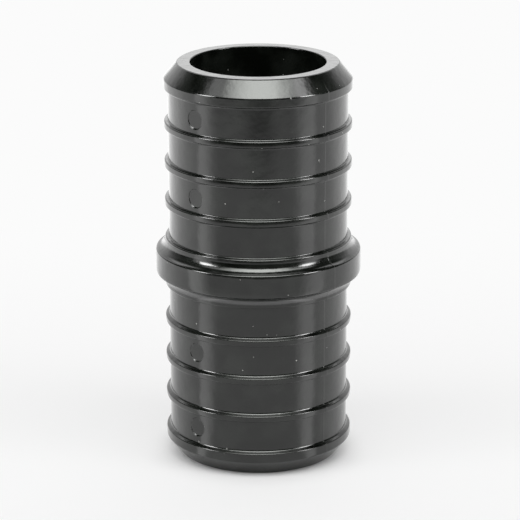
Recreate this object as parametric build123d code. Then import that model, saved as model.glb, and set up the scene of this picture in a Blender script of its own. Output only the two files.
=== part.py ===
from build123d import *
from math import cos, radians, sin
import os

# A moulded plastic coupling that joins two ends of flexible water pipe. Each half is a ribbed insert
# that a pipe is pushed over, as far as the collar in the middle, and clamped with a crimped ring.
# The bore runs along Z, the origin is on its axis at the middle of the collar, and the lower half
# mirrors the upper one. Sizes are in millimetres and angles in degrees.

# Whole piece
overall_length = 47.4
rib_diameter = 22.0
wall_thickness = 2.6            # from the bore to the plain bands between the ribs

# Lead-in cone at the mouth of each insert, and the wide rib that it ends on
lead_in_length = 1.9
lead_in_depth = 1.57
end_rib_width = 1.03

# Narrow sealing ribs. Their flanks spread at the foot, a little more on the side towards the collar
narrow_rib_count = 3
rib_width = 0.65
rib_height = 0.5
mouth_side_spread = 0.12
collar_side_spread = 0.18

# Collar that stops both pipes: a plain band, then a shoulder that sweeps down to a step at rib height.
# The shoulder is two tangent arcs, and the one beside the band takes what is left of the projection
collar_projection = 1.12
collar_band_width = 2.66
collar_step_width = 0.32
step_arc_radius = 1.25
arc_turn = 45

# Round ejector pin marks, sunk into the front of every second plain band
pin_mark_diameter = 2.2
pin_mark_depth = 0.1
pin_mark_inset = 0.2            # towards the collar, from the middle of the band

# Radii that follow
rib_radius = rib_diameter / 2
wall_radius = rib_radius - rib_height
bore_radius = wall_radius - wall_thickness
mouth_radius = rib_radius - lead_in_depth
collar_radius = rib_radius + collar_projection
step_arc_rise = step_arc_radius * (1 - cos(radians(arc_turn)))
band_arc_radius = (collar_projection - step_arc_rise) / cos(radians(arc_turn))

# Heights that follow, from the middle of the collar
half_length = overall_length / 2
collar_edge = collar_band_width / 2
step_arc_drop = step_arc_radius * sin(radians(arc_turn))
band_arc_drop = band_arc_radius * (1 - sin(radians(arc_turn)))
shoulder_top = collar_edge + band_arc_drop + step_arc_drop
step_top = shoulder_top + collar_step_width
lead_in_start = half_length - lead_in_length
end_rib_start = lead_in_start - end_rib_width
plain_space = end_rib_start - step_top - narrow_rib_count * rib_width
band_width = plain_space / (narrow_rib_count + 1)
rib_pitch = band_width + rib_width


def rib_corners(collar_side, mouth_side):
    """Corners of one rib between two heights, as (radius, height), from the collar side up."""
    return [
        (wall_radius, collar_side - collar_side_spread),
        (rib_radius, collar_side),
        (rib_radius, mouth_side),
        (wall_radius, mouth_side + mouth_side_spread),
    ]


def insert_outline():
    """Outline of one insert from the step of the collar up its ribs, over the mouth and down the bore."""
    corners = [
        (rib_radius, shoulder_top),
        (rib_radius, step_top),
        (wall_radius, step_top + mouth_side_spread),
    ]
    for number in range(1, narrow_rib_count + 1):
        mouth_side = step_top + number * rib_pitch
        corners += rib_corners(mouth_side - rib_width, mouth_side)
    corners += rib_corners(end_rib_start, lead_in_start)[:-1]
    corners += [(mouth_radius, half_length), (bore_radius, half_length), (bore_radius, 0)]
    return Polyline(*corners)


def collar_outline():
    """Outline of half the collar: its shoulder, its band, and the cut across the wall at its middle."""
    step_arc = JernArc((rib_radius, shoulder_top), (0, -1), step_arc_radius, arc_turn)
    band_arc = JernArc(step_arc @ 1, step_arc % 1, band_arc_radius, arc_turn)
    band = Polyline(band_arc @ 1, (collar_radius, 0), (bore_radius, 0))
    return step_arc + band_arc + band


def wall_section():
    """Section of the whole wall, with radius along X and height along Y."""
    upper_half = make_face(insert_outline() + collar_outline())
    return upper_half + mirror(upper_half, about=Plane.XZ)


def pin_marks():
    """Discs that sink the pin marks into the front of both inserts."""
    disc = extrude(Circle(pin_mark_diameter / 2), amount=2 * pin_mark_depth)
    floor = wall_radius - pin_mark_depth
    marks = []
    for band in range(2, narrow_rib_count + 2, 2):
        band_middle = step_top + (band - 1) * rib_pitch + band_width / 2
        for height in (band_middle - pin_mark_inset, pin_mark_inset - band_middle):
            marks.append(Plane(origin=(0, -floor, height), z_dir=(0, -1, 0)) * disc)
    return marks


coupling_body = revolve(Plane.XZ * wall_section(), axis=Axis.Z)
for mark in pin_marks():
    coupling_body -= mark

os.makedirs("parts", exist_ok=True)
export_step(coupling_body, "parts/coupling_body.step")
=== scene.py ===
"""Looks of a moulded plastic coupling for flexible water pipe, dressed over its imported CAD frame.

The bore runs along Z, the origin is on its axis at the middle of the collar, and the pin marks face -Y.
Sizes of the coupling and the studio are written in millimetres and become metres where Blender needs
them. The studio is laid out from the camera: right, front and up, where front is towards the camera.
"""

import logging
from dataclasses import dataclass, field
from enum import Enum
from math import atan2, cos, degrees, pi, radians, sin, tan
from typing import Any, Callable, Optional, Union

import bpy
import numpy as np
from mathutils import Matrix, Vector


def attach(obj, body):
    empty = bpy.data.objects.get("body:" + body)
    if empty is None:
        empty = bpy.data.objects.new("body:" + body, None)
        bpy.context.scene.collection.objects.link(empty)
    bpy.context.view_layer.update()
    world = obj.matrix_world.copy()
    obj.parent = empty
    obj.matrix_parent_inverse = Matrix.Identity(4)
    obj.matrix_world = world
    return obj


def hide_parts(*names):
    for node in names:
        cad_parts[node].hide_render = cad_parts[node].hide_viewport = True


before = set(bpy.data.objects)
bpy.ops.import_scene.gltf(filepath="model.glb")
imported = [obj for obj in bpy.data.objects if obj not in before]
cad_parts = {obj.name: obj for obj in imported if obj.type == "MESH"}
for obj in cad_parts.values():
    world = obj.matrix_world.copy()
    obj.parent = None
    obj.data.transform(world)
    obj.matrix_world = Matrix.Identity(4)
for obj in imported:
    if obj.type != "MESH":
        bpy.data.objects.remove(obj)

MM = 0.001
UP = (0.0, 0.0, 1.0)
WHITE = (1.0, 1.0, 1.0, 1.0)
CAMERA_AZIMUTH = 43.4

log = logging.getLogger("coupling")

Span = tuple[float, float]
Triple = tuple[float, float, float]
Color = tuple[float, float, float, float]
Row = tuple[float, float, float, float]
Key = Union[str, int]
Value = Union["Signal", float, tuple]
Relief = Callable[[np.ndarray, np.ndarray, np.ndarray], np.ndarray]


class Ray(Enum):
    """Kinds of ray that a stage material or the world tells apart."""

    CAMERA = "Is Camera Ray"
    GLOSSY = "Is Glossy Ray"


class Side(Enum):
    """Sides of the coupling that the mould's parting plane cuts, as angles from +X."""

    PLUS_X = 0.0
    MINUS_X = pi


@dataclass(frozen=True)
class Signal:
    """A socket of a shader tree that arithmetic can be written on."""

    tree: "ShaderTree"
    socket: bpy.types.NodeSocket

    def __add__(self, other: Value) -> "Signal":
        """Sum of this and another value."""
        return self.tree.math("ADD", self, other)

    def __sub__(self, other: Value) -> "Signal":
        """This less another value."""
        return self.tree.math("SUBTRACT", self, other)

    def __rsub__(self, other: Value) -> "Signal":
        """Another value less this."""
        return self.tree.math("SUBTRACT", other, self)

    def __mul__(self, other: Value) -> "Signal":
        """Product of this and another value."""
        return self.tree.math("MULTIPLY", self, other)

    def __lt__(self, other: Value) -> "Signal":
        """1 where this is below another value, and 0 elsewhere."""
        return self.tree.math("LESS_THAN", self, other)

    __radd__ = __add__
    __rmul__ = __mul__


class ShaderTree:
    """Node tree of a material or of the world, built from Python expressions."""

    def __init__(self, tree: bpy.types.NodeTree) -> None:
        """Empties a tree and gets ready to fill it.

        Args:
            tree: the node tree of a material or of the world.
        """
        self.tree = tree
        tree.nodes.clear()

    def node(
        self,
        kind: str,
        settings: Optional[dict[str, Any]] = None,
        inputs: Optional[dict[Key, Value]] = None,
    ) -> bpy.types.Node:
        """Adds one node.

        Args:
            kind: the node's type.
            settings: its properties, which are set before its sockets.
            inputs: a value or a signal for each socket, by the socket's identifier, name or place.

        Returns:
            The new node.
        """
        made = self.tree.nodes.new(kind)
        for name, value in (settings or {}).items():
            setattr(made, name, value)
        for key, value in (inputs or {}).items():
            socket = self._find(made.inputs, key)
            if isinstance(value, Signal):
                self.tree.links.new(value.socket, socket)
            else:
                socket.default_value = value
        return made

    def signals(
        self,
        kind: str,
        outputs: tuple[str, ...],
        settings: Optional[dict[str, Any]] = None,
        inputs: Optional[dict[Key, Value]] = None,
    ) -> list[Signal]:
        """Adds one node and picks some of its outputs.

        Args:
            kind: the node's type.
            outputs: the outputs' identifiers or names.
            settings: its properties.
            inputs: a value or a signal for each socket.

        Returns:
            The chosen outputs.
        """
        made = self.node(kind, settings, inputs)
        return [Signal(self, self._find(made.outputs, output)) for output in outputs]

    def signal(
        self,
        kind: str,
        output: str,
        settings: Optional[dict[str, Any]] = None,
        inputs: Optional[dict[Key, Value]] = None,
    ) -> Signal:
        """Adds one node and picks one of its outputs.

        Args:
            kind: the node's type.
            output: the output's identifier or name.
            settings: its properties.
            inputs: a value or a signal for each socket.

        Returns:
            The chosen output.
        """
        return self.signals(kind, (output,), settings, inputs)[0]

    def math(self, operation: str, *values: Value) -> Signal:
        """Adds a Math node.

        Args:
            operation: the node's operation.
            values: numbers or signals, in the order of its sockets.

        Returns:
            The node's result.
        """
        return self.signal("ShaderNodeMath", "Value", {"operation": operation}, dict(enumerate(values)))

    def vector(self, operation: str, *values: Value, output: str = "Vector") -> Signal:
        """Adds a Vector Math node.

        Args:
            operation: the node's operation.
            values: vectors, numbers or signals, in the order of the sockets that the operation uses.
            output: "Vector" or "Value".

        Returns:
            The chosen output.
        """
        inputs = dict(enumerate(values))
        return self.signal("ShaderNodeVectorMath", output, {"operation": operation}, inputs)

    def along(self, place: Signal, way: Triple) -> Signal:
        """How far a place lies along a direction."""
        return self.vector("DOT_PRODUCT", place, way, output="Value")

    def place(self) -> Signal:
        """Position on the surface in the row frame, in millimetres."""
        return self.vector("SCALE", self.signal("ShaderNodeTexCoord", "Object"), 1 / MM)

    def ray(self, kind: Ray) -> Signal:
        """1 for rays of one kind, and 0 for the rest."""
        return self.signal("ShaderNodeLightPath", kind.value)

    def ramp(self, value: Value, low: float, high: float, to_low: float, to_high: float) -> Signal:
        """Maps a value from one range to another with soft ends.

        Args:
            value: the value.
            low: start of its range.
            high: end of its range.
            to_low: result at the start.
            to_high: result at the end.

        Returns:
            The mapped value.
        """
        settings = {"interpolation_type": "SMOOTHSTEP"}
        inputs = {"Value": value, "From Min": low, "From Max": high, "To Min": to_low, "To Max": to_high}
        return self.signal("ShaderNodeMapRange", "Result", settings, inputs)

    def blend(self, factor: Value, first: Value, second: Value) -> Signal:
        """Mixes two colours.

        Args:
            factor: 0 for the first colour and 1 for the second.
            first: a colour.
            second: a colour.

        Returns:
            The mixed colour.
        """
        inputs = {"Factor_Float": factor, "A_Color": first, "B_Color": second}
        return self.signal("ShaderNodeMix", "Result_Color", {"data_type": "RGBA"}, inputs)

    def glow(self, color: Value, strength: Value) -> Signal:
        """Shader that gives off light."""
        return self.signal("ShaderNodeEmission", "Emission", {}, {"Color": color, "Strength": strength})

    def layer(self, share: Value, below: Signal, above: Signal) -> Signal:
        """Mixes two shaders.

        Args:
            share: 0 for the lower shader and 1 for the upper one.
            below: the lower shader.
            above: the upper shader.

        Returns:
            The mixed shader.
        """
        inputs = {"Fac": share, "Shader": below, "Shader_001": above}
        return self.signal("ShaderNodeMixShader", "Shader", {}, inputs)

    @staticmethod
    def _find(sockets: Any, key: Key) -> bpy.types.NodeSocket:
        """Picks one socket.

        Args:
            sockets: the inputs or the outputs of a node.
            key: its identifier, its name, or its place among the sockets that are in use.

        Returns:
            The socket.
        """
        if isinstance(key, int):
            return [socket for socket in sockets if socket.enabled][key]
        named = [s for s in sockets if s.identifier == key] or [s for s in sockets if s.name == key]
        return named[0]


def new_material(name: str, surface: Callable[[ShaderTree], Signal]) -> bpy.types.Material:
    """Makes a material.

    Args:
        name: the material's name.
        surface: function that draws its shader in an empty tree.

    Returns:
        The new material.
    """
    made = bpy.data.materials.new(name)
    made.use_nodes = True
    tree = ShaderTree(made.node_tree)
    tree.node("ShaderNodeOutputMaterial", {}, {"Surface": surface(tree)})
    return made


def new_object(name: str, data: bpy.types.ID) -> bpy.types.Object:
    """Adds an object to the scene.

    Args:
        name: the object's name.
        data: its mesh, light or camera.

    Returns:
        The new object.
    """
    made = bpy.data.objects.new(name, data)
    bpy.context.scene.collection.objects.link(made)
    return made


@dataclass(frozen=True)
class Flecks:
    """Small marks scattered over a surface, each in a cell of its own.

    Attributes:
        cell: width of a cell in millimetres.
        size: radius of the largest mark in millimetres.
        share: share of the cells that may hold a mark.
        faint: strength of the faintest mark, where the strongest has 1.
        stretch: how the cells are scaled along each axis, which makes long marks.
        turn: angles that the cells are turned by.
        offset: shift that gives each kind of mark its own places.
    """

    cell: float
    size: float
    share: float
    faint: float = 0.2
    stretch: Triple = (1.0, 1.0, 1.0)
    turn: Triple = (0.0, 0.0, 0.0)
    offset: Triple = (0.0, 0.0, 0.0)

    def mask(self, tree: ShaderTree, place: Signal) -> Signal:
        """Draws the marks.

        Args:
            tree: the material's tree.
            place: surface position in millimetres.

        Returns:
            Strength of the marks, up to 1, and 0 elsewhere.
        """
        inputs = {"Vector": place, "Location": self.offset, "Rotation": self.turn, "Scale": self.stretch}
        cells = tree.signal("ShaderNodeMapping", "Vector", {"vector_type": "POINT"}, inputs)
        inputs = {"Vector": cells, "Scale": 1 / self.cell}
        lots, away = tree.signals("ShaderNodeTexVoronoi", ("Color", "Distance"), {}, inputs)
        parts = ("Red", "Green", "Blue")
        chance, spread, force = tree.signals("ShaderNodeSeparateColor", parts, {}, {"Color": lots})
        near = away < spread * (self.size / self.cell)
        strength = force * (1 - self.faint) + self.faint
        return near * (chance < self.share) * strength


@dataclass(frozen=True)
class Clouds:
    """Soft noise over a surface.

    Attributes:
        scale: how many clouds there are to a millimetre.
        detail: how many finer layers the noise has.
        height: how far it lifts the surface where it is 1, in millimetres.
    """

    scale: float
    detail: float
    height: float = 0.0

    def level(self, tree: ShaderTree, place: Signal) -> Signal:
        """Draws the noise.

        Args:
            tree: the material's tree.
            place: surface position in millimetres.

        Returns:
            The noise, round 0.5.
        """
        inputs = {"Vector": place, "Scale": self.scale, "Detail": self.detail}
        return tree.signal("ShaderNodeTexNoise", "Fac", {}, inputs)

    def relief(self, tree: ShaderTree, place: Signal) -> Signal:
        """Draws the noise as a relief.

        Args:
            tree: the material's tree.
            place: surface position in millimetres.

        Returns:
            How far the surface is lifted, in millimetres.
        """
        return self.level(tree, place) * self.height


@dataclass(frozen=True)
class MouldedPlastic:
    """Black moulded plastic with a satin gloss, faint flow marks, a haze of dust and fine scratches.

    Attributes:
        name: the material's name.
        slot: the record's material slot, which this script doesn't use.
        color: colour of the clean plastic.
        haze_color: colour where a thin haze lies on it.
        dull_sheen_color: colour of the dull ring below the collar, a lighter grey that is painted sheen in
            place of its blurred reflection.
        dust_color: colour of a speck of dust.
        scratch_color: colour of a scratch.
        refraction: index of refraction.
        roughness: roughness of the clean plastic.
        roughness_spread: how far the roughness varies round that.
        roughness_clouds: where it varies.
        dust: the specks.
        dust_roughness: how much rougher a speck is than the plastic.
        scratches: the scratches.
        haze: where the haze lies.
        haze_span: levels of those clouds between which it comes up.
        dull_sheen_ring: height of the dull ring's middle, and half its width, in millimetres.
        dull_sheen_core: share of that half over which the ring is at its full strength.
        dull_sheen_start: distances from the axis between which it starts, so that the bore has none.
        ripple: the slow ripples in the mould's polish.
        cone_ripple: the finer ripples that the lead-in cones have as well.
        cone_span: distances from the middle between which those start.
        flow: the lengthwise flow marks.
        flow_scale: their scale along the bore, which draws them out.
        grain: the fine grain.
    """

    name: str = "black_moulded_plastic"
    slot: str = "black_plastic"
    color: Color = (0.0026, 0.0035, 0.0024, 1.0)
    haze_color: Color = (0.0125, 0.0147, 0.0122, 1.0)
    dull_sheen_color: Color = (0.088, 0.088, 0.088, 1.0)
    dust_color: Color = (0.42, 0.42, 0.40, 1.0)
    scratch_color: Color = (0.13, 0.13, 0.13, 1.0)
    refraction: float = 1.55
    roughness: float = 0.15
    roughness_spread: float = 0.1
    roughness_clouds: Clouds = Clouds(scale=0.6, detail=4.0)
    dust: Flecks = Flecks(cell=0.95, size=0.11, share=0.35)
    dust_roughness: float = 0.5
    scratches: Flecks = Flecks(
        cell=1.6, size=0.06, share=0.4, stretch=(1.0, 1.0, 0.14), turn=(0.5, 0.35, 0.0), offset=(4, 9, 2)
    )
    haze: Clouds = Clouds(scale=0.32, detail=5.0)
    haze_span: Span = (0.38, 0.68)
    dull_sheen_ring: Span = (-2.2, 0.3)
    dull_sheen_core: float = 0.4
    dull_sheen_start: Span = (10.4, 10.8)
    ripple: Clouds = Clouds(scale=0.7, detail=2.0, height=0.026)
    cone_ripple: Clouds = Clouds(scale=1.2, detail=2.0, height=0.022)
    cone_span: Span = (21.6, 22.0)
    flow: Clouds = Clouds(scale=0.9, detail=3.0, height=0.008)
    flow_scale: float = 0.06
    grain: Clouds = Clouds(scale=5.0, detail=2.0, height=0.0007)

    def material(self) -> bpy.types.Material:
        """Builds the material."""
        return new_material(self.name, self.surface)

    def surface(self, tree: ShaderTree) -> Signal:
        """Draws the shader.

        Args:
            tree: the material's tree.

        Returns:
            The shader.
        """
        place = tree.place()
        dust = self.dust.mask(tree, place)
        clouds = self.roughness_clouds.level(tree, place) - 0.5
        inputs = {
            "Base Color": self.tones(tree, place, dust),
            "Roughness": clouds * self.roughness_spread + self.roughness + dust * self.dust_roughness,
            "IOR": self.refraction,
            "Normal": self.normal(tree, place),
        }
        return tree.signal("ShaderNodeBsdfPrincipled", "BSDF", {}, inputs)

    def tones(self, tree: ShaderTree, place: Signal, dust: Signal) -> Signal:
        """Draws the colour, from the clean plastic up to the dust, with the dull ring's painted sheen.

        Args:
            tree: the material's tree.
            place: surface position in millimetres.
            dust: strength of the specks of dust.

        Returns:
            The colour.
        """
        haze = tree.ramp(self.haze.level(tree, place), *self.haze_span, 0.0, 1.0)
        color = tree.blend(haze, self.color, self.haze_color)
        # painted sheen: the dull ring below the collar is lightened to grey in place of its blurred
        # reflection
        color = tree.blend(self.ring(tree, place), color, self.dull_sheen_color)
        color = tree.blend(self.scratches.mask(tree, place), color, self.scratch_color)
        return tree.blend(dust, color, self.dust_color)

    def ring(self, tree: ShaderTree, place: Signal) -> Signal:
        """Draws the dull ring below the collar, whose painted sheen lightens the colour.

        Args:
            tree: the material's tree.
            place: surface position in millimetres.

        Returns:
            Its strength, up to 1, and 0 elsewhere.
        """
        middle, reach = self.dull_sheen_ring
        off = tree.math("ABSOLUTE", tree.along(place, UP) - middle)
        out = tree.vector("LENGTH", tree.vector("MULTIPLY", place, (1.0, 1.0, 0.0)), output="Value")
        started = tree.ramp(out, *self.dull_sheen_start, 0.0, 1.0)
        return tree.ramp(off, self.dull_sheen_core * reach, reach, 1.0, 0.0) * started

    def normal(self, tree: ShaderTree, place: Signal) -> Signal:
        """Normal with the slow ripples, the lengthwise flow marks and the fine grain.

        Args:
            tree: the material's tree.
            place: surface position in millimetres.

        Returns:
            The bumped normal.
        """
        drawn = tree.vector("MULTIPLY", place, (1.0, 1.0, self.flow_scale))
        level = tree.math("ABSOLUTE", tree.along(place, UP))
        on_cone = tree.ramp(level, *self.cone_span, 0.0, 1.0)
        height = (
            self.ripple.relief(tree, place)
            + self.flow.relief(tree, drawn)
            + self.grain.relief(tree, place)
            + self.cone_ripple.relief(tree, place) * on_cone
        )
        inputs = {"Strength": 1.0, "Distance": MM, "Height": height}
        return tree.signal("ShaderNodeBump", "Normal", {}, inputs)


@dataclass(frozen=True)
class Corner:
    """A corner of the wall's outline, rounded by a tangent arc. Sizes in millimetres."""

    radius: float
    height: float
    rounding: float = 0.0

    def mirrored(self) -> "Corner":
        """The same corner in the lower half."""
        return Corner(self.radius, -self.height, self.rounding)


@dataclass
class Outline:
    """Closed outline of the wall, run up the outside and down the bore.

    Attributes:
        corners: its corners in order.
        fine_spans: height ranges in which the outside gets rows every fine_step.
        fine_step: distance between those rows in millimetres.
        arc_step: turn between two points of a rounding, in degrees, as near as equal steps allow.
    """

    corners: list[Corner]
    fine_spans: list[Span] = field(default_factory=list)
    fine_step: float = 0.08
    arc_step: float = 18.0

    def rows(self) -> np.ndarray:
        """Works out the points of the outline and the normals at them.

        Returns:
            One row for each point: radius, height, and the outward normal's two parts.
        """
        found: list[Row] = []
        count = len(self.corners)
        for i, corner in enumerate(self.corners):
            arc = self._arc(self.corners[i - 1], corner, self.corners[(i + 1) % count])
            if found:
                found += self._between(found[-1], arc[0])
            found += arc
        found += self._between(found[-1], found[0])
        return np.array(found)

    def _arc(self, before: Corner, corner: Corner, after: Corner) -> list[Row]:
        """Rounds one corner.

        Args:
            before: the corner before it.
            corner: the corner to round.
            after: the corner after it.

        Returns:
            Points of the rounding, from its start to its end.
        """
        heading_in = atan2(corner.height - before.height, corner.radius - before.radius)
        heading_out = atan2(after.height - corner.height, after.radius - corner.radius)
        turn = (heading_out - heading_in + pi) % (2 * pi) - pi
        reach = corner.rounding * tan(abs(turn) / 2)
        swing = corner.rounding if turn > 0 else -corner.rounding
        centre = (
            corner.radius - reach * cos(heading_in) - swing * sin(heading_in),
            corner.height - reach * sin(heading_in) + swing * cos(heading_in),
        )
        steps = max(2, round(degrees(abs(turn)) / self.arc_step))
        points = []
        for step in range(steps + 1):
            heading = heading_in + turn * step / steps
            out, up = sin(heading), -cos(heading)
            points.append((centre[0] + swing * out, centre[1] + swing * up, out, up))
        return points

    def _between(self, start: Row, end: Row) -> list[Row]:
        """Rows that a straight run on the outside needs for the pin marks.

        Args:
            start: last point before the run.
            end: first point after it.

        Returns:
            Points on the run.
        """
        radius, bottom, out, up = start
        rows = []
        for low, high in self.fine_spans:
            if bottom < low and high < end[1]:
                heights = np.arange(low, high, self.fine_step)
                rows += [(radius, float(height), out, up) for height in heights]
        return rows


@dataclass(frozen=True)
class PinMark:
    """Round ejector pin mark with a flat floor, sunk into the front of a plain band.

    Attributes:
        height: height of its middle.
        band_radius: radius of the band.
        diameter: its width.
        depth: how deep its floor lies.
        edge: width of the slope at its edge.
        skin: how far below the band's radius the surface still counts as the outside.
    """

    height: float
    band_radius: float
    diameter: float = 2.2
    depth: float = 0.13
    edge: float = 0.1
    skin: float = 0.2

    def reach(self) -> float:
        """Half the width that needs fine rows and columns."""
        return self.diameter / 2 + 2 * self.edge

    def span(self) -> Span:
        """Heights that need fine rows."""
        return self.height - self.reach(), self.height + self.reach()

    def relief(self, x: np.ndarray, y: np.ndarray, z: np.ndarray) -> np.ndarray:
        """How far the mark moves the surface outwards, in millimetres.

        Args:
            x: positions along X.
            y: positions along Y.
            z: heights.

        Returns:
            The movement at each position, which is negative on the mark.
        """
        away = np.hypot(x, z - self.height)
        inside = np.clip((self.diameter / 2 - away) / self.edge + 0.5, 0, 1)
        inside = inside * inside * (3 - 2 * inside)
        floor = np.hypot(x, self.band_radius - self.depth) - self.band_radius
        front = (y < 0) & (np.hypot(x, y) > self.band_radius - self.skin)
        return np.where(front, inside * np.minimum(floor, 0), 0)


@dataclass(frozen=True)
class PartingLine:
    """Faint raised line where the halves of the mould met, down one side of the outside.

    Attributes:
        side: the side that it runs down.
        inner_radius: how far out from the axis it starts, so that the bore has none.
        height: how far it stands up.
        width: how far from its middle it has fallen to about a third.
    """

    side: Side
    inner_radius: float = 9.62
    height: float = 0.018
    width: float = 0.07

    def relief(self, x: np.ndarray, y: np.ndarray, z: np.ndarray) -> np.ndarray:
        """How far the line moves the surface outwards, in millimetres.

        Args:
            x: positions along X.
            y: positions along Y.
            z: heights, which it doesn't use.

        Returns:
            The movement at each position.
        """
        ahead = x * cos(self.side.value) > self.inner_radius
        return np.where(ahead, self.height * np.exp(-((y / self.width) ** 2)), 0)


@dataclass
class Lathe:
    """Mesh of an outline turned about Z, with small reliefs on it.

    Attributes:
        rows: radius, height and outward normal of each point of the outline.
        angles: angle of each column from +X, in radians.
        reliefs: functions that move the surface along its normal.
        probe: how far each way a relief's slope is measured, in millimetres.
    """

    rows: np.ndarray
    angles: np.ndarray
    reliefs: list[Relief]
    probe: float = 0.01

    def mesh(self, name: str) -> bpy.types.Mesh:
        """Builds the mesh with exact normals.

        Args:
            name: the mesh's name.

        Returns:
            The new mesh, in metres.
        """
        radius, height, out, up = (column[:, None] for column in self.rows.T)
        c, s = np.cos(self.angles)[None, :], np.sin(self.angles)[None, :]
        flat, tall = np.ones_like(c), np.ones_like(radius)
        place = np.stack([radius * c, radius * s, height * flat], axis=-1)
        normal = np.stack([out * c, out * s, up * flat], axis=-1)
        along = np.stack([-up * c, -up * s, out * flat], axis=-1)
        around = np.stack([-s * tall, c * tall, 0 * tall * flat], axis=-1)
        tilt_along = self._slope(place, along)
        tilt_around = self._slope(place, around)
        place = place + self._move(place)[..., None] * normal
        normal = normal - tilt_along[..., None] * along - tilt_around[..., None] * around
        normal /= np.linalg.norm(normal, axis=-1, keepdims=True)
        made = bpy.data.meshes.new(name)
        made.from_pydata((place * MM).reshape(-1, 3).tolist(), [], self._faces())
        made.polygons.foreach_set("use_smooth", [True] * len(made.polygons))
        made.normals_split_custom_set_from_vertices(normal.reshape(-1, 3).tolist())
        made.update()
        return made

    def _move(self, place: np.ndarray) -> np.ndarray:
        """Sum of the reliefs at positions, in millimetres."""
        x, y, z = np.moveaxis(place, -1, 0)
        return sum(relief(x, y, z) for relief in self.reliefs)

    def _slope(self, place: np.ndarray, way: np.ndarray) -> np.ndarray:
        """Slope of the reliefs along a direction on the surface."""
        ahead, behind = self._move(place + self.probe * way), self._move(place - self.probe * way)
        return (ahead - behind) / (2 * self.probe)

    def _faces(self) -> list[tuple[int, int, int, int]]:
        """Faces between neighbouring rows and columns, closed both ways.

        Returns:
            The corners of each face.
        """
        high, wide = len(self.rows), len(self.angles)
        i, j = np.meshgrid(np.arange(high), np.arange(wide), indexing="ij")
        i_next, j_next = (i + 1) % high, (j + 1) % wide
        corners = [i * wide + j, i * wide + j_next, i_next * wide + j_next, i_next * wide + j]
        return np.stack(corners, axis=-1).reshape(-1, 4).tolist()


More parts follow.
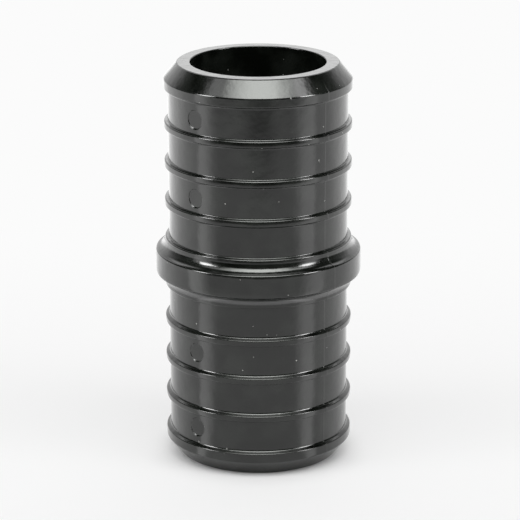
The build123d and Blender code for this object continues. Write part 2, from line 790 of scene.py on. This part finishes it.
@dataclass
class CouplingBody:
    """The one moulded piece: a ribbed insert each side of a collar, bored straight through.

    Sizes are in millimetres and match the part's source to 0.07 mm, with the roundings that it leaves
    out. Where a rib has a pair of values, the first is for its side towards the mouth.

    Attributes:
        half_length: from the middle to an end face.
        bore_radius: radius of the bore.
        band_radius: radius of the plain bands.
        rib_radius: radius of the ribs.
        mouth_radius: outer radius of an end face.
        collar_radius: radius of the collar.
        collar_edge: height of the upper edge of the collar's band.
        shoulder_fall: slope of the shoulder's upper part, in degrees.
        shoulder_rounding: radius of the shoulder's sweep.
        step_top: height of the upper edge of the step beside the shoulder.
        end_rib: heights between which the end rib lies.
        rib_count: how many narrow ribs an insert has.
        rib_width: width of a narrow rib at its crest.
        spreads: how far a rib's flanks spread at its foot.
        foot_roundings: radii at a rib's foot.
        crest_roundings: radii at a rib's crest.
        crown: width of a crest's fall towards the mouth, its depth, and the radius where it starts.
        heel: the same towards the collar.
        band_crown: the same at the edges of the collar's band.
        band_rounding: radius at the edges of the collar's band.
        end_rib_rounding: radius where the lead-in cone starts.
        mouth_roundings: radii at the outer and the inner edge of an end face.
        pin_mark_inset: how far the pin marks lie from the middle of their band, towards the collar.
        column_step: angle between the mesh's columns, in degrees.
        mark_columns: how many columns cross a pin mark.
        seam_columns: how far from a parting line's middle it has extra columns each side.
        finish: the finish of the whole piece.
    """

    half_length: float = 23.7
    bore_radius: float = 7.9
    band_radius: float = 10.5
    rib_radius: float = 11.0
    mouth_radius: float = 9.43
    collar_radius: float = 12.1
    collar_edge: float = 1.37
    shoulder_fall: float = 10.0
    shoulder_rounding: float = 1.22
    step_top: float = 2.91
    end_rib: Span = (20.77, 21.8)
    rib_count: int = 3
    rib_width: float = 0.71
    spreads: Span = (0.06, 0.18)
    foot_roundings: Span = (0.14, 0.28)
    crest_roundings: Span = (0.17, 0.12)
    crown: Triple = (0.42, 0.045, 2.6)
    heel: Triple = (0.11, 0.014, 0.5)
    band_crown: Triple = (0.38, 0.05, 2.5)
    band_rounding: float = 0.2
    end_rib_rounding: float = 0.35
    mouth_roundings: Span = (0.32, 0.12)
    pin_mark_inset: float = 0.2
    column_step: float = 1.8
    mark_columns: int = 33
    seam_columns: Triple = (0.05, 0.1, 0.2)
    finish: MouldedPlastic = MouldedPlastic()

    def build(self) -> bpy.types.Object:
        """Builds the piece, which stands for the CAD node.

        Returns:
            The new object.
        """
        marks = self.pin_marks()
        outline = Outline(self.corners(), sorted(mark.span() for mark in marks))
        seams = [PartingLine(side) for side in Side]
        reliefs = [mark.relief for mark in marks] + [seam.relief for seam in seams]
        mesh = Lathe(outline.rows(), self.angles(marks[0]), reliefs).mesh("moulded_body")
        piece = new_object("moulded_body", mesh)
        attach(piece, "root")
        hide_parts("coupling_body")
        return piece

    def dress(self, piece: bpy.types.Object) -> None:
        """Gives the piece its finish."""
        piece.data.materials.append(self.finish.material())

    def corners(self) -> list[Corner]:
        """Corners of the whole outline, from the collar up the upper insert and round.

        Returns:
            The corners in order.
        """
        upper = self.collar_corners() + self.rib_corners() + self.mouth_corners()
        return upper + [corner.mirrored() for corner in reversed(upper)]

    def collar_corners(self) -> list[Corner]:
        """Corners from the collar's band up its shoulder and over the step.

        Returns:
            The corners, from the band up.
        """
        foot = self.collar_edge + (self.collar_radius - self.rib_radius) * tan(radians(self.shoulder_fall))
        width, depth, rounding = self.band_crown
        return [
            Corner(self.collar_radius, self.collar_edge - width, rounding),
            Corner(self.collar_radius - depth, self.collar_edge, self.band_rounding),
            Corner(self.rib_radius, foot, self.shoulder_rounding),
            *self.crest_corners(self.step_top),
        ]

    def rib_corners(self) -> list[Corner]:
        """Corners of the narrow ribs.

        Returns:
            The corners, from the collar up.
        """
        corners = []
        for low, high in self.rib_spans():
            corners += self.heel_corners(low) + self.crest_corners(high)
        return corners

    def mouth_corners(self) -> list[Corner]:
        """Corners of the end rib, its lead-in cone and the mouth of the bore.

        Returns:
            The corners, from the end rib's foot to the bore.
        """
        low, high = self.end_rib
        outer, inner = self.mouth_roundings
        return [
            *self.heel_corners(low),
            Corner(self.rib_radius, high, self.end_rib_rounding),
            Corner(self.mouth_radius, self.half_length, outer),
            Corner(self.bore_radius, self.half_length, inner),
        ]

    def heel_corners(self, foot: float) -> list[Corner]:
        """Corners of the flank towards the collar and of the crest's fall beside it.

        Args:
            foot: height of the crest's lower edge.

        Returns:
            The corners from the plain band up to the crest.
        """
        width, depth, rounding = self.heel
        return [
            Corner(self.band_radius, foot - self.spreads[1], self.foot_roundings[1]),
            Corner(self.rib_radius - depth, foot, self.crest_roundings[1]),
            Corner(self.rib_radius, foot + width, rounding),
        ]

    def crest_corners(self, top: float) -> list[Corner]:
        """Corners of a crest's fall towards the mouth and of the flank that it ends on.

        Args:
            top: height of the crest's upper edge.

        Returns:
            The corners from the crest up to the plain band.
        """
        width, depth, rounding = self.crown
        return [
            Corner(self.rib_radius, top - width, rounding),
            Corner(self.rib_radius - depth, top, self.crest_roundings[0]),
            Corner(self.band_radius, top + self.spreads[0], self.foot_roundings[0]),
        ]

    def rib_spans(self) -> list[Span]:
        """Heights of the narrow ribs of the upper insert.

        Returns:
            The lower and upper edge of each crest, from the collar up.
        """
        plain = self.end_rib[0] - self.step_top - self.rib_count * self.rib_width
        pitch = plain / (self.rib_count + 1) + self.rib_width
        tops = [self.step_top + pitch * (number + 1) for number in range(self.rib_count)]
        return [(top - self.rib_width, top) for top in tops]

    def band_spans(self) -> list[Span]:
        """Heights of the plain bands of the upper insert.

        Returns:
            The lower and upper end of each band, from the collar up.
        """
        ribs = self.rib_spans()
        starts = [self.step_top] + [high for _, high in ribs]
        ends = [low for low, _ in ribs] + [self.end_rib[0]]
        return list(zip(starts, ends))

    def pin_marks(self) -> list[PinMark]:
        """The marks on every second plain band of both inserts."""
        middles = [(low + high) / 2 - self.pin_mark_inset for low, high in self.band_spans()[1::2]]
        return [PinMark(way * middle, self.band_radius) for middle in middles for way in (1, -1)]

    def angles(self, mark: PinMark) -> np.ndarray:
        """Columns of the mesh, close together at the pin marks and the parting lines.

        Args:
            mark: one of the pin marks.

        Returns:
            The angles from +X, in radians and in order.
        """
        front = -pi / 2
        reach = mark.reach() / self.band_radius
        plain = np.radians(np.arange(-180, 180, self.column_step))
        plain = plain[abs(plain - front) > reach]
        at_mark = front + np.linspace(-reach, reach, self.mark_columns)
        beside = np.array(self.seam_columns) / self.band_radius
        at_seams = [side.value + way * beside for side in Side for way in (1, -1)]
        found = np.concatenate([plain, at_mark, *at_seams])
        return np.unique(np.round((found + pi) % (2 * pi) - pi, decimals=9))


def in_studio(spot: Triple) -> Vector:
    """Turns right, front and up of the camera into the row frame.

    Args:
        spot: distances or a direction, right, front and up.

    Returns:
        The same in the row frame.
    """
    right, front, up = spot
    c, s = cos(radians(CAMERA_AZIMUTH)), sin(radians(CAMERA_AZIMUTH))
    return Vector((right * c + front * s, right * s - front * c, up))


TO_RIGHT = tuple(in_studio((1, 0, 0)))
TO_FRONT = tuple(in_studio((0, 1, 0)))


@dataclass(frozen=True)
class Panel:
    """A soft light panel that faces the coupling.

    Its reflection is a glowing sheet that only gloss shows. What it sheds on the floor and on matt
    surfaces comes from a lamp of the same size, which gloss doesn't show.

    Attributes:
        name: what it is called.
        azimuth: direction of its middle, in degrees from the front towards the right.
        elevation: angle of its middle above the floor, in degrees.
        distance: from the coupling to its middle, in millimetres.
        size: its width and height in millimetres.
        gleam: how bright its reflection is, where 1 is white.
        light: how bright it is for matt surfaces.
        fades: shares of its size over which it fades in from its left, right, lower and upper edges.
        tint: colour of its reflection.
    """

    name: str
    azimuth: float
    elevation: float
    distance: float
    size: Span
    gleam: float
    light: float
    fades: tuple[float, float, float, float] = (0.2, 0.2, 0.2, 0.2)
    tint: Color = WHITE

    def build(self) -> None:
        """Hangs the panel's lamp and its glowing sheet."""
        az, el = radians(self.azimuth), radians(self.elevation)
        back = in_studio((sin(az) * cos(el), cos(az) * cos(el), sin(el)))
        across = Vector(UP).cross(back).normalized()
        axes = Matrix((across, back.cross(across), back)).transposed().to_4x4()
        place = Matrix.Translation(back * self.distance * MM) @ axes
        self._lamp().matrix_world = place
        self._sheet().matrix_world = place

    def _lamp(self) -> bpy.types.Object:
        """Makes the lamp.

        Returns:
            The new light.
        """
        light = bpy.data.lights.new(self.name + "_lamp", "AREA")
        light.shape = "RECTANGLE"
        light.size, light.size_y = (length * MM for length in self.size)
        light.energy = self.light * pi * light.size * light.size_y
        lamp = new_object(self.name + "_lamp", light)
        lamp.visible_camera = lamp.visible_glossy = False
        return lamp

    def _sheet(self) -> bpy.types.Object:
        """Makes the glowing sheet.

        Returns:
            The new object.
        """
        x, y = (length * MM / 2 for length in self.size)
        mesh = bpy.data.meshes.new(self.name + "_sheet")
        mesh.from_pydata([(-x, -y, 0), (x, -y, 0), (x, y, 0), (-x, y, 0)], [], [(3, 2, 1, 0)])
        mesh.materials.append(new_material(self.name + "_glow", self.surface))
        sheet = new_object(self.name + "_sheet", mesh)
        sheet.visible_camera = sheet.visible_diffuse = sheet.visible_shadow = False
        return sheet

    def surface(self, tree: ShaderTree) -> Signal:
        """Draws the sheet's shader, which fades at its edges.

        Args:
            tree: the material's tree.

        Returns:
            The shader.
        """
        spot = tree.signal("ShaderNodeTexCoord", "Generated")
        left, low = tree.signals("ShaderNodeSeparateXYZ", ("X", "Y"), {}, {"Vector": spot})
        shown: Value = 1.0
        for depth, fade in zip((left, 1 - left, low, 1 - low), self.fades):
            shown = tree.ramp(depth, 0.0, fade, 0.0, 1.0) * shown
        clear = tree.signal("ShaderNodeBsdfTransparent", "BSDF")
        return tree.layer(shown, clear, tree.glow(self.tint, self.gleam))


@dataclass(frozen=True)
class Streak:
    """A strip of painted light on the floor, which only gloss shows, that runs away from the coupling
    towards a side panel.

    Attributes:
        azimuth: its direction, in degrees from the front towards the right.
        spread: half its width in degrees.
        left_fade: degrees over which it fades on its left.
        right_fade: degrees over which it fades on its right.
        strength: how much it adds, where 1 is white.
        start: distance from the coupling's axis at which it starts, in millimetres.
    """

    azimuth: float
    spread: float
    left_fade: float
    right_fade: float
    strength: float
    start: float = 10.5

    def shade(self, tree: ShaderTree, right: Signal, front: Signal) -> Signal:
        """Draws the strip.

        Args:
            tree: the floor's tree.
            right: distance to the right of the coupling.
            front: distance in front of it.

        Returns:
            What the strip adds.
        """
        half = radians(self.azimuth / 2)
        ahead = front - self.start * cos(half)
        azimuth = tree.math("ARCTAN2", right - self.start * sin(half), ahead) * degrees(1)
        low, high = self.azimuth - self.spread, self.azimuth + self.spread
        rise = tree.ramp(azimuth, low - self.left_fade, low, 0.0, self.strength)
        return rise * tree.ramp(azimuth, high, high + self.right_fade, 1.0, 0.0)


@dataclass
class Floor:
    """Pale floor that the coupling stands on. It fills the view and keeps the soft shadow.

    It is part paper, which takes the shadow, and part an even glow. Gloss shows it as brighter beside
    the coupling and behind it, where the panels shine on it. All rays but the camera's find it darker in
    front, most of all far off, with a faint band of painted shade nearer. Distances are in millimetres
    from the coupling's axis, and angles in degrees from the front.

    Attributes:
        height: its height in the row frame.
        reach: half its width.
        color: the paper's colour.
        front_dark_color: the paper's colour in the dark place in front.
        glow: brightness of the glow.
        front_dark_loss: share of the glow that is missing in the dark place in front.
        glow_share: share of the glow near the coupling, where the paper has the rest.
        contact_span: distances between which the glow starts.
        side_gain: how much nearer to the axis it starts beside and behind the coupling.
        side_span: distances in front between which that ends.
        ground_span: distances in front between which the share falls from all to glow_share.
        open_span: distances in front between which it is all again, for the camera alone.
        front_dark_span: distances between which the dark place in front comes up.
        front_dark_depth: how dark it grows there, where far off is 1.
        front_dark_spread: angles between which that dark place fades, and the one that it is turned by.
        far_span: distances between which all of the floor in front grows dark.
        far_spread: angles between which that fades.
        shade_band_span: distances at which the band of painted shade in front starts, is darkest, and
            ends.
        shade_band_depth: how much darker that painted shade is.
        sheen: painted light that gloss adds to the glow all over.
        beside: what it adds beside and behind the coupling, near to it and far off.
        beside_span: distances between which that changes.
        beside_spread: angles between which that starts.
        right_share: share of that on the right.
        light_streaks: the strips of painted light that gloss shows.
    """

    height: float
    reach: float = 2500.0
    color: Color = (0.9, 0.9, 0.9, 1.0)
    front_dark_color: Color = (0.12, 0.12, 0.12, 1.0)
    glow: float = 0.965
    front_dark_loss: float = 0.9
    glow_share: float = 0.6
    contact_span: Span = (9.0, 15.0)
    side_gain: float = 1.6
    side_span: Span = (0.0, 7.0)
    ground_span: Span = (-90.0, 10.0)
    open_span: Span = (60.0, 260.0)
    front_dark_span: Span = (115.0, 190.0)
    front_dark_depth: float = 0.7
    front_dark_spread: Triple = (4.0, 28.0, -2.0)
    far_span: Span = (185.0, 270.0)
    far_spread: Span = (45.0, 75.0)
    shade_band_span: tuple[float, float, float, float] = (79.0, 84.0, 95.0, 99.0)
    shade_band_depth: float = 0.2
    sheen: float = 0.08
    beside: Span = (0.3, 0.75)
    beside_span: Span = (30.0, 130.0)
    beside_spread: Span = (60.0, 88.0)
    right_share: float = 0.7
    light_streaks: tuple[Streak, ...] = (
        Streak(-77.0, 4.0, 3.5, 22.0, 1.95),
        Streak(68.0, 5.0, 20.0, 9.0, 1.75),
    )

    def build(self) -> bpy.types.Object:
        """Lays the floor.

        Returns:
            The new object.
        """
        spots = [(self.reach * x, self.reach * y) for x, y in ((-1, -1), (1, -1), (1, 1), (-1, 1))]
        mesh = bpy.data.meshes.new("studio_floor")
        mesh.from_pydata([(x * MM, y * MM, self.height * MM) for x, y in spots], [], [(0, 1, 2, 3)])
        floor = new_object("studio_floor", mesh)
        return floor

    def dress(self, floor: bpy.types.Object) -> None:
        """Gives the floor its pale finish."""
        floor.data.materials.append(new_material("pale_floor", self.surface))

    def surface(self, tree: ShaderTree) -> Signal:
        """Draws the floor's shader.

        Args:
            tree: the floor's tree.

        Returns:
            The shader.
        """
        place = tree.place()
        right, front = tree.along(place, TO_RIGHT), tree.along(place, TO_FRONT)
        away = tree.math("SQRT", right * right + front * front)
        azimuth = tree.math("ARCTAN2", right, front) * degrees(1)
        seen = tree.ray(Ray.CAMERA)
        dark = self._front_dark(tree, away, azimuth) * (1 - seen)
        color = tree.blend(dark, self.color, self.front_dark_color)
        paper = tree.signal("ShaderNodeBsdfDiffuse", "BSDF", {}, {"Color": color})
        sheen = self._sheen(tree, away, azimuth)
        for streak in self.light_streaks:
            sheen = sheen + streak.shade(tree, right, front)
        level = (tree.ray(Ray.GLOSSY) * sheen + self.glow) * (1 - dark * self.front_dark_loss)
        near = away + tree.ramp(front, *self.side_span, self.side_gain, 0.0)
        share = tree.ramp(near, *self.contact_span, 0.0, self.glow_share)
        share = share + tree.ramp(front, *self.ground_span, 1.0 - self.glow_share, 0.0)
        share = share + tree.ramp(front, *self.open_span, 0.0, 1.0 - self.glow_share) * seen
        return tree.layer(share, paper, tree.glow(WHITE, level))

    def _front_dark(self, tree: ShaderTree, away: Signal, azimuth: Signal) -> Signal:
        """Draws the dark place in front, with its faint band of painted shade.

        Args:
            tree: the floor's tree.
            away: distance from the coupling's axis.
            azimuth: direction from the front towards the right, in degrees.

        Returns:
            Up to 1 in the dark place and 0 round it.
        """
        narrow, wide, turn = self.front_dark_spread
        aside = tree.ramp(tree.math("ABSOLUTE", azimuth + turn), narrow, wide, 1.0, 0.0)
        near = tree.ramp(away, *self.front_dark_span, 0.0, self.front_dark_depth) * aside
        # painted shade: a faint darker band across the floor in front, seen by all rays but the camera's
        start, dark, light, end = self.shade_band_span
        shade_band = tree.ramp(away, start, dark, 0.0, self.shade_band_depth) * tree.ramp(away, light, end, 1.0, 0.0)
        far = tree.ramp(away, *self.far_span, 0.0, 1.0)
        in_front = tree.ramp(tree.math("ABSOLUTE", azimuth), *self.far_spread, 1.0, 0.0)
        return tree.math("MAXIMUM", near, tree.math("MAXIMUM", far, shade_band) * in_front)

    def _sheen(self, tree: ShaderTree, away: Signal, azimuth: Signal) -> Signal:
        """Painted light that gloss adds to the glow all over, and more of it beside and behind the
        coupling.

        Args:
            tree: the floor's tree.
            away: distance from the coupling's axis.
            azimuth: direction from the front towards the right, in degrees.

        Returns:
            The extra brightness.
        """
        aside = tree.ramp(tree.math("ABSOLUTE", azimuth), *self.beside_spread, 0.0, 1.0)
        side = aside * tree.ramp(azimuth, *self.beside_spread, 1.0, self.right_share)
        return side * tree.ramp(away, *self.beside_span, *self.beside) + self.sheen


@dataclass(frozen=True)
class Room:
    """The room round the studio: pale for the camera, and for all else dim in front and pale behind.

    Attributes:
        seen: brightness that the camera sees.
        front: brightness in front.
        beside: brightness beside the coupling.
        back: brightness behind it.
        beside_span: how far a direction points to the front, from -1 to 1, between beside and front.
        back_span: the same between back and beside.
        top_share: share of the brightness that is left high up.
        top_span: how far a direction points up, from -1 to 1, between all of the brightness and that.
    """

    seen: float = 0.965
    front: float = 0.03
    beside: float = 0.3
    back: float = 1.15
    beside_span: Span = (-0.5, -0.05)
    back_span: Span = (-0.78, -0.42)
    top_share: float = 0.12
    top_span: Span = (0.37, 0.62)

    def build(self) -> None:
        """Makes the world."""
        world = bpy.data.worlds.new("studio_room")
        bpy.context.scene.world = world
        world.use_nodes = True
        tree = ShaderTree(world.node_tree)
        way = tree.signal("ShaderNodeTexCoord", "Generated")
        front = tree.along(way, TO_FRONT)
        beside = tree.ramp(front, *self.beside_span, self.beside, self.front)
        behind = tree.ramp(front, *self.back_span, self.back - self.beside, 0.0)
        low = tree.ramp(tree.along(way, UP), *self.top_span, 1.0, self.top_share)
        seen = tree.ray(Ray.CAMERA)
        strength = seen * self.seen + (1 - seen) * (beside + behind) * low
        inputs = {"Color": WHITE, "Strength": strength}
        shader = tree.signal("ShaderNodeBackground", "Background", {}, inputs)
        tree.node("ShaderNodeOutputWorld", {}, {"Surface": shader})


EVEN_FADES = (0.5, 0.5, 0.5, 0.5)
SIDE_FADES = (0.22, 0.22, 0.45, 0.4)
LOW_FADES = (0.35, 0.35, 0.1, 0.3)


@dataclass
class Studio:
    """The floor, the soft panels and the room round them."""

    floor: Floor
    room: Room = Room()
    panels: tuple[Panel, ...] = (
        Panel(
            "overhead_front", 0, 64, 500, (840, 400), gleam=10.5, light=2.3,
            fades=(0.476, 0.43, 0.2, 0.2), tint=(0.975, 1.0, 0.965, 1.0),
        ),
        Panel("upper_left", -77, 52.5, 560, (255, 245), gleam=2.5, light=0.5, fades=EVEN_FADES),
        Panel("upper_right", 75, 53, 560, (245, 240), gleam=5.6, light=0.5, fades=EVEN_FADES),
        Panel("left", -69, 28, 550, (185, 320), gleam=23.0, light=2.5, fades=SIDE_FADES),
        Panel("right", 64.5, 29, 550, (180, 320), gleam=23.0, light=2.5, fades=SIDE_FADES),
        Panel("lower_left", -70, 10, 600, (330, 260), gleam=2.3, light=0.4, fades=LOW_FADES),
        Panel("lower_right", 64, 10, 600, (330, 260), gleam=2.2, light=0.4, fades=LOW_FADES),
        Panel("back", 180, 15, 600, (380, 150), gleam=2.0, light=1.2, fades=(0.35, 0.35, 0.3, 0.3)),
        Panel("overhead_back", 180, 48, 560, (800, 330), gleam=1.7, light=0.9),
    )

    def build(self) -> None:
        """Lays the floor, hangs the panels and sets the room round them."""
        self.floor.dress(self.floor.build())
        for panel in self.panels:
            panel.build()
            log.info("panel %s at %.0f, %.0f degrees", panel.name, panel.azimuth, panel.elevation)
        self.room.build()


@dataclass
class PhotoCamera:
    """The camera that was fitted to the photo, aimed a hair beside the coupling's axis.

    Attributes:
        lens: focal length in millimetres.
        sensor: width of the sensor in millimetres.
        distance: how far in front of the coupling's axis it stands, in millimetres.
        height: how far above the middle of the coupling it stands, in millimetres.
        pitch: angle that it looks down by, in degrees.
        swing: angle that it is turned aside by.
        roll: angle that it leans by.
        clip: nearest and farthest distance that it sees, in metres.
    """

    lens: float = 182.75
    sensor: float = 36.0
    distance: float = 298.3
    height: float = 92.25
    pitch: float = 17.256
    swing: float = 0.038
    roll: float = 0.06
    clip: Span = (0.01, 20.0)

    def build(self) -> bpy.types.Object:
        """Places the camera.

        Returns:
            The new camera.
        """
        data = bpy.data.cameras.new("photo_camera")
        data.sensor_width, data.lens = self.sensor, self.lens
        data.clip_start, data.clip_end = self.clip
        turn = Matrix.Rotation(radians(CAMERA_AZIMUTH - self.swing), 4, "Z")
        tip = Matrix.Rotation(radians(90 - self.pitch), 4, "X")
        roll = Matrix.Rotation(radians(-self.roll), 4, "Z")
        spot = in_studio((0, self.distance, self.height)) * MM
        camera = new_object("photo_camera", data)
        camera.matrix_world = Matrix.Translation(spot) @ turn @ tip @ roll
        bpy.context.scene.camera = camera
        return camera


def main() -> None:
    """Builds the coupling, the studio and the camera."""
    logging.basicConfig(level=logging.INFO, format="%(message)s")
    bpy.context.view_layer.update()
    bpy.context.scene.view_settings.view_transform = "Standard"
    body = CouplingBody()
    piece = body.build()
    body.dress(piece)
    log.info("piece %s: %d faces", piece.name, len(piece.data.polygons))
    Studio(Floor(-body.half_length)).build()
    camera = PhotoCamera().build()
    log.info("%s: %.2f mm lens", camera.name, camera.data.lens)


if __name__ == "__main__":
    main()
